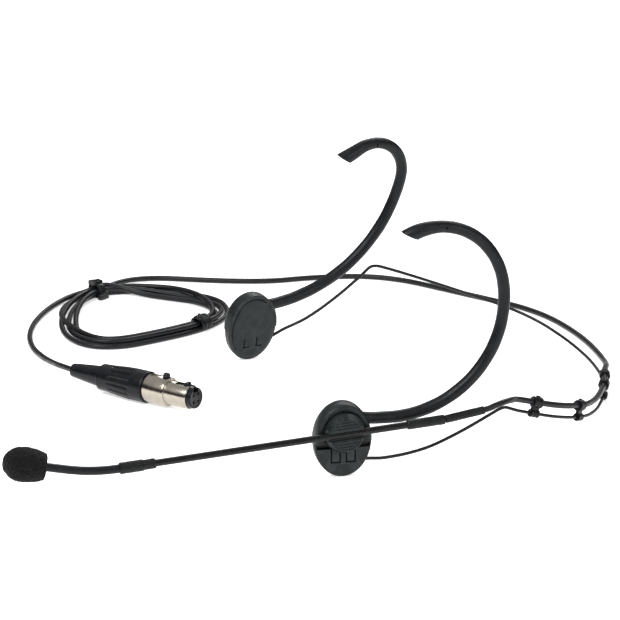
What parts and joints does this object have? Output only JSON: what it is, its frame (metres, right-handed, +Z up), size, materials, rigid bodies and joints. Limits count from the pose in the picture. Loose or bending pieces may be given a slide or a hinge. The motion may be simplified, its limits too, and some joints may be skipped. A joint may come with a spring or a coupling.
{
  "type": "headset microphone",
  "caption": "Wire-neckband headset microphone with ear hooks, temple pads, a clamped boom with a foam windscreen, and a coiled cable ending in a small round connector.",
  "frame": {"origin": "on the ground, under the middle of the headset without its free cable", "axes": "+Z up, -Y the way the wearer faces, +X towards the side of the head that carries the boom (the wearer's left)"},
  "size_m": [0.2477, 0.2337, 0.0831],
  "materials": {
    "pad_plastic": "fine satin moulded nylon",
    "knob_plastic": "fine satin moulded nylon",
    "hook_rubber": "smooth soft sheen",
    "spring_steel": "plain",
    "pivot_nylon": "plain",
    "band_coating": "black coated wire, satin",
    "boom_coating": "black, semi-gloss",
    "neck_sleeve": "satin sleeve",
    "heat_shrink": "satin heat-shrink",
    "cable_jacket": "semi-gloss jacket",
    "windscreen_foam": "open-cell foam",
    "clip_plastic": "semi-gloss",
    "tie_plastic": "semi-gloss",
    "connector_plastic": "semi-gloss",
    "nickel_plating": "satin nickel plate",
    "contact_brass": "plain",
    "capsule_metal": "dark anodised"
  },
  "bodies": {
    "neckband": {"neckband_wire": "band_coating", "near_wire_pivot": "pivot_nylon", "far_wire_pivot": "pivot_nylon", "cable_clip_1": "clip_plastic", "cable_clip_2": "clip_plastic", "cable_clip_3": "clip_plastic", "cable_clip_4": "clip_plastic", "boom_lead": "cable_jacket", "clipped_cable": "cable_jacket", "trailing_cable": "cable_jacket", "cable_coil": "cable_jacket", "coil_clip_tie": "tie_plastic", "coil_twist_tie": "tie_plastic", "connector_cable": "cable_jacket", "connector_boot": "connector_plastic", "connector_grip": "connector_plastic", "connector_collet": "connector_plastic", "connector_shell": "nickel_plating", "connector_insert": "connector_plastic", "connector_contacts": "contact_brass", "latch_pin": "spring_steel"},
    "near_pad": {"near_inner_plate": "pad_plastic", "near_upper_shell": "pad_plastic", "near_lower_clamp": "pad_plastic", "near_spring_washer": "spring_steel"},
    "near_knob": {"near_knob": "knob_plastic", "near_knob_screw": "spring_steel"},
    "near_hook": {"near_hook_core": "spring_steel", "near_hook_sleeve": "hook_rubber", "near_hook_pivot": "pivot_nylon"},
    "far_pad": {"far_inner_plate": "pad_plastic", "far_upper_shell": "pad_plastic", "far_lower_clamp": "pad_plastic", "far_spring_washer": "spring_steel"},
    "far_knob": {"far_knob": "knob_plastic", "far_knob_screw": "spring_steel"},
    "far_hook": {"far_hook_core": "spring_steel", "far_hook_sleeve": "hook_rubber", "far_hook_pivot": "pivot_nylon"},
    "boom": {"boom_rod": "boom_coating", "front_sleeve": "heat_shrink", "front_under_sleeve": "heat_shrink", "rear_sleeve": "heat_shrink", "cable_sleeve": "heat_shrink"},
    "gooseneck": {"gooseneck": "neck_sleeve", "gooseneck_core": "spring_steel"},
    "mic_head": {"capsule_housing": "capsule_metal", "capsule_element": "capsule_metal", "windscreen": "windscreen_foam"},
    "latch": {"latch_lever": "connector_plastic"}
  },
  "joints": [
    {"name": "near_pad_swing", "type": "hinge", "parent": "neckband", "child": "near_pad", "pos_m": [0.06475, 0.0037, 0.0052], "axis": [1, 0, 0], "range_deg": [-8, 8]},
    {"name": "near_hook_swing", "type": "hinge", "parent": "near_pad", "child": "near_hook", "pos_m": [0.06475, 0.0026, 0.0194], "axis": [1, 0, 0], "range_deg": [-8, 8]},
    {"name": "near_knob_turn", "type": "hinge", "parent": "near_pad", "child": "near_knob", "pos_m": [0.0697, -0.0016, 0.0156], "axis": [-1, 0, 0], "range_deg": [-12, 12], "deforming": ["boom_lead"]},
    {"name": "boom_slide", "type": "slide", "parent": "near_knob", "child": "boom", "axis": [0, 0.9973, 0.0732], "range_m": [-0.003, 0.006], "deforming": ["boom_lead"]},
    {"name": "gooseneck_raise", "type": "hinge", "parent": "boom", "child": "gooseneck", "pos_m": [0.0697, -0.08121, 0.01], "axis": [-1, 0, 0], "range_deg": [-30, 35], "deforming": ["gooseneck", "gooseneck_core"]},
    {"name": "gooseneck_turn_in", "type": "hinge", "parent": "gooseneck", "child": "mic_head", "pos_m": [0.0697, -0.09484, 0.01172], "axis": [0, 0, -1], "range_deg": [-25, 50], "deforming": ["gooseneck", "gooseneck_core"]},
    {"name": "far_pad_swing", "type": "hinge", "parent": "neckband", "child": "far_pad", "pos_m": [-0.06744, 0.00321, 0.00543], "axis": [-0.9467, -0.2714, 0.1736], "range_deg": [-8, 8]},
    {"name": "far_hook_swing", "type": "hinge", "parent": "far_pad", "child": "far_hook", "pos_m": [-0.06477, 0.00283, 0.01941], "axis": [-0.9467, -0.2714, 0.1736], "range_deg": [-8, 8]},
    {"name": "far_knob_turn", "type": "hinge", "parent": "far_pad", "child": "far_knob", "pos_m": [-0.06893, -0.00273, 0.01653], "axis": [-0.9467, -0.2714, 0.1736], "range_deg": [-45, 45]},
    {"name": "latch_press", "type": "hinge", "parent": "neckband", "child": "latch", "pos_m": [-0.02148, -0.04342, 0.0087], "axis": [-0.638, 0.77, 0], "range_deg": [0, 3.5], "stiffness_Nm_per_rad": 0.01, "springref_deg": -2.86}
  ]
}
